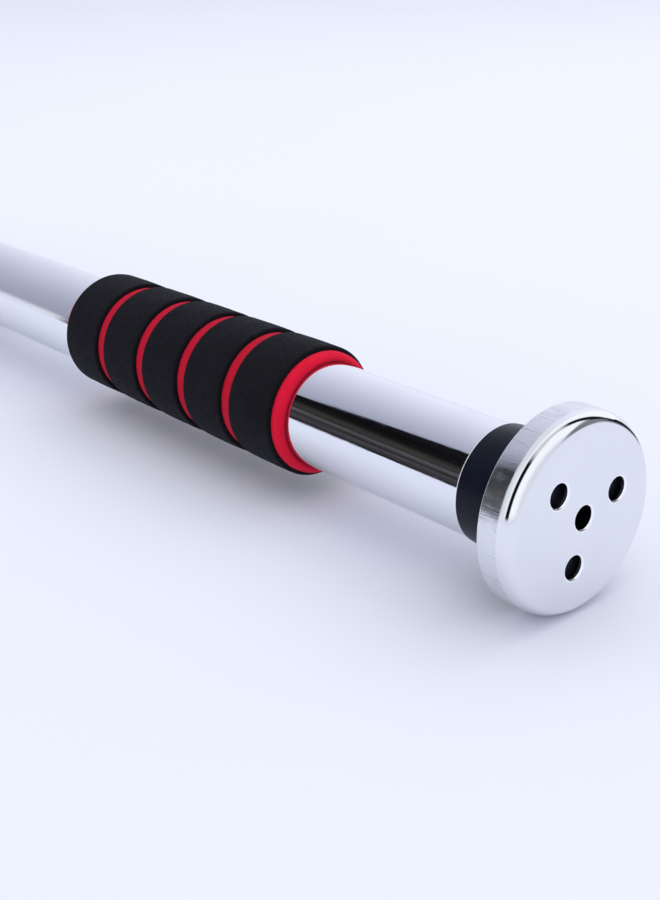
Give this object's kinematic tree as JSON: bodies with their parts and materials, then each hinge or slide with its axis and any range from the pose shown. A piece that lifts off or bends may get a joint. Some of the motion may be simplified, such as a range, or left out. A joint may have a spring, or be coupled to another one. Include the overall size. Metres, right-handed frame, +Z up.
{
  "type": "doorway pull-up bar",
  "caption": "Chrome telescopic pull-up bar for a doorway: foam grips in black and red, an inner tube driven out by a lead screw, and swivel feet seated in screw-on wall cups.",
  "frame": {"origin": "the middle of the closed bar, on its axis", "axes": "+X along the bar towards the near wall cup, +Z up, right-handed"},
  "size_m": [0.66, 0.0636, 0.0636],
  "materials": {
    "cup_chrome": "chrome-plated pressed steel, bright edge, fine brushing on the side",
    "tube_chrome": "mirror chrome plating on drawn steel tube",
    "foot_black": "moulded nylon, blue-black, slightly glossy",
    "pad_rubber": "black rubber, satin",
    "bush_nylon": "black nylon, matte",
    "zinc_steel": "bright zinc-plated steel",
    "bolt_steel": "black-oxide steel, lightly oiled",
    "nut_brass": "machined brass",
    "bush_brass": "sintered bronze, oiled",
    "foam_red": "soft closed-cell foam, satin",
    "foam_black": "soft closed-cell foam, fine pores"
  },
  "bodies": {
    "near_cup": {"near_cup": "cup_chrome"},
    "near_foot": {"near_foot": "foot_black", "near_pad": "pad_rubber", "pivot_bush": "bush_brass", "thrust_washer": "bush_nylon"},
    "bar": {"outer_tube": "tube_chrome", "mouth_bush": "bush_nylon", "end_plug": "zinc_steel", "screw_pin": "bolt_steel", "pivot_bolt": "bolt_steel", "lead_screw": "zinc_steel", "stop_ring": "zinc_steel", "stop_pin": "bolt_steel", "near_grip_core": "foam_red", "near_grip_bands": "foam_black", "far_grip_core": "foam_red", "far_grip_bands": "foam_black"},
    "extension": {"inner_tube": "tube_chrome", "lead_nut": "nut_brass", "nut_pins": "bolt_steel", "far_foot": "foot_black", "far_pad": "pad_rubber", "far_plug": "zinc_steel", "far_bolt": "bolt_steel"},
    "far_cup": {"far_cup": "cup_chrome"}
  },
  "joints": [
    {"name": "near_foot_seat", "type": "slide", "parent": "near_cup", "child": "near_foot", "axis": [-1, 0, 0], "range_m": [0, 0.025]},
    {"name": "bar_spin", "type": "hinge", "parent": "near_foot", "child": "bar", "pos_m": [0.28, 0, 0], "axis": [1, 0, 0], "range_deg": [0, 15750]},
    {"name": "extension_slide", "type": "slide", "parent": "near_foot", "child": "extension", "axis": [-1, 0, 0], "range_m": [0, 0.3501]},
    {"name": "far_cup_seat", "type": "slide", "parent": "extension", "child": "far_cup", "axis": [-1, 0, 0], "range_m": [0, 0.025]}
  ],
  "couplings": [
    {"joint": "extension_slide", "follows": "bar_spin", "m_per_rad": 0.0012732}
  ]
}
